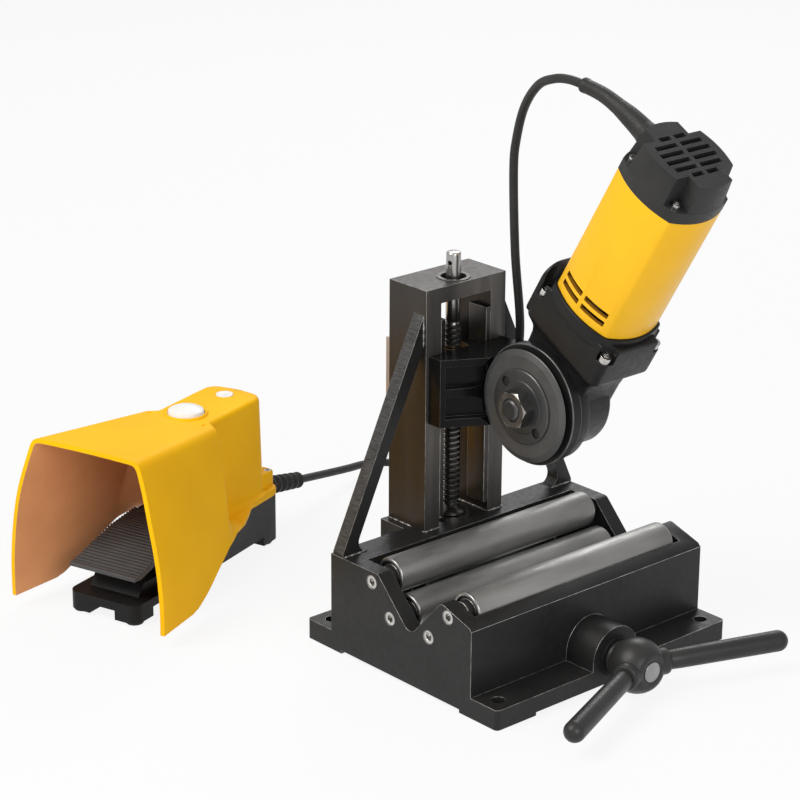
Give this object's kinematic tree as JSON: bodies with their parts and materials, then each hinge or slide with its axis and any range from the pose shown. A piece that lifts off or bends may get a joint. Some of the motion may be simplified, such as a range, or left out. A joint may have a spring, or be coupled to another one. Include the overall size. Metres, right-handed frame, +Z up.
{
  "type": "pipe cutting machine",
  "caption": "Bench pipe cutting machine: a motor-driven cutting wheel on a carriage fed down a column by a screw and a cross handle onto a roller bed, with a hooded foot switch on a cable.",
  "frame": {"origin": "on the bench under the middle of the machine's base, at the centre of its four bolt holes", "axes": "+X along the rollers to the motor's side, -Y towards the operator and the handle, +Z up"},
  "size_m": [0.5128, 0.5948, 0.5065],
  "materials": {
    "black_casting": "satin black paint on cast iron",
    "black_carriage": "gloss black paint on cast iron",
    "column_steel": "blackened ground steel",
    "guide_steel": "ground steel",
    "plate_steel": "bare ground steel",
    "roller_steel": "burnished steel",
    "bright_steel": "bright zinc plated steel",
    "inner_steel": "oiled steel",
    "bronze": "bronze",
    "handle_black": "satin black",
    "motor_yellow": "smooth yellow",
    "black_plastic": "fine grained black",
    "hood_yellow": "smooth yellow",
    "white_plastic": "smooth white",
    "black_rubber": "matt",
    "motor_core": "laminations and copper",
    "cutter_steel": "blackened tool steel"
  },
  "bodies": {
    "frame": {"base_casting": "black_casting", "column": "column_steel", "guide_strips": "guide_steel", "column_bolts": "bright_steel", "left_brace": "black_casting", "right_brace": "black_casting", "roller_axles": "bright_steel", "roller_bushes": "inner_steel", "spindle_top_bush": "inner_steel", "spindle_thrust_bush": "bronze", "feed_bushes": "bronze", "switch_base": "black_plastic", "switch_hood": "hood_yellow", "switch_feet": "black_rubber", "pedal_pin": "bright_steel", "pedal_spring": "bright_steel", "switch_block": "black_plastic", "cable_gland": "black_rubber", "hood_screws": "bright_steel", "connection_cable": "black_rubber"},
    "carriage": {"carriage_casting": "black_carriage", "spindle_nut": "bronze", "rear_guide_plate": "plate_steel", "guide_screws": "bright_steel", "gear_housing": "black_casting", "gear_cover": "black_casting", "motor_housing": "motor_yellow", "motor_cap": "black_plastic", "motor_screws": "bright_steel", "cap_screws": "bright_steel", "stator": "motor_core", "drive_bearings": "inner_steel", "reduction_gear": "inner_steel", "cord_guard": "black_rubber"},
    "cutter": {"cutter_shaft": "inner_steel", "cutting_wheel": "cutter_steel", "clamp_flange": "cutter_steel", "cutter_nut": "cutter_steel", "bevel_wheel": "inner_steel"},
    "pinion": {"bevel_pinion": "inner_steel", "planet_carrier": "inner_steel"},
    "rotor": {"armature": "motor_core"},
    "spindle": {"lead_screw": "bright_steel", "spindle_gear": "inner_steel"},
    "feed": {"feed_shaft": "bright_steel", "feed_gear": "inner_steel", "handle_hub": "handle_black", "handle_arm_left": "handle_black", "handle_arm_right": "handle_black"},
    "upper_rear_roller": {"roller_upper_rear": "roller_steel"},
    "lower_rear_roller": {"roller_lower_rear": "roller_steel"},
    "lower_front_roller": {"roller_lower_front": "roller_steel"},
    "upper_front_roller": {"roller_upper_front": "roller_steel"},
    "foot_pedal": {"pedal": "black_plastic"},
    "dome": {"dome_button": "white_plastic"},
    "reset": {"small_button": "white_plastic"}
  },
  "joints": [
    {"name": "carriage_slide", "type": "slide", "parent": "frame", "child": "carriage", "axis": [0, 0, 1], "range_m": [-0.09, 0.015], "deforming": ["connection_cable"]},
    {"name": "spindle_turn", "type": "hinge", "parent": "frame", "child": "spindle", "pos_m": [0, 0.087, 0.2], "axis": [0, 0, 1], "range_deg": [-1081, 6481]},
    {"name": "feed_turn", "type": "hinge", "parent": "frame", "child": "feed", "pos_m": [0, 0, 0.026], "axis": [0, 1, 0], "range_deg": [-1081, 6481]},
    {"name": "cutter_spin", "type": "hinge", "parent": "carriage", "child": "cutter", "pos_m": [0, -0.0124, 0.2231], "axis": [1, 0, 0], "continuous": true},
    {"name": "pinion_spin", "type": "hinge", "parent": "carriage", "child": "pinion", "pos_m": [0.0307, -0.0124, 0.2231], "axis": [0, -0.5015, 0.8652], "continuous": true},
    {"name": "armature_spin", "type": "hinge", "parent": "carriage", "child": "rotor", "pos_m": [0.0307, -0.0124, 0.2231], "axis": [0, -0.5015, 0.8652], "continuous": true},
    {"name": "upper_rear_roller_spin", "type": "hinge", "parent": "frame", "child": "upper_rear_roller", "pos_m": [0, 0.0355, 0.0814], "axis": [1, 0, 0], "continuous": true},
    {"name": "lower_rear_roller_spin", "type": "hinge", "parent": "frame", "child": "lower_rear_roller", "pos_m": [0, 0.012, 0.0553], "axis": [1, 0, 0], "continuous": true},
    {"name": "lower_front_roller_spin", "type": "hinge", "parent": "frame", "child": "lower_front_roller", "pos_m": [0, -0.0368, 0.0553], "axis": [1, 0, 0], "continuous": true},
    {"name": "upper_front_roller_spin", "type": "hinge", "parent": "frame", "child": "upper_front_roller", "pos_m": [0, -0.0603, 0.0814], "axis": [1, 0, 0], "continuous": true},
    {"name": "pedal_press", "type": "hinge", "parent": "frame", "child": "foot_pedal", "pos_m": [-0.14415, 0.30413, 0.057], "axis": [0.294, -0.9558, 0], "range_deg": [0, 7], "stiffness_Nm_per_rad": 3, "springref_deg": -9.74, "deforming": ["pedal_spring"]},
    {"name": "dome_press", "type": "slide", "parent": "frame", "child": "dome", "axis": [0, 0, -1], "range_m": [0, 0.003], "stiffness_N_per_m": 800, "springref_m": -0.002},
    {"name": "reset_press", "type": "slide", "parent": "frame", "child": "reset", "axis": [0, 0, -1], "range_m": [0, 0.0012], "stiffness_N_per_m": 600, "springref_m": -0.002}
  ],
  "couplings": [
    {"joint": "spindle_turn", "follows": "carriage_slide", "rad_per_m": -1256.6},
    {"joint": "feed_turn", "follows": "carriage_slide", "rad_per_m": -1256.6},
    {"joint": "pinion_spin", "follows": "cutter_spin", "ratio": -3},
    {"joint": "armature_spin", "follows": "cutter_spin", "ratio": -12}
  ]
}
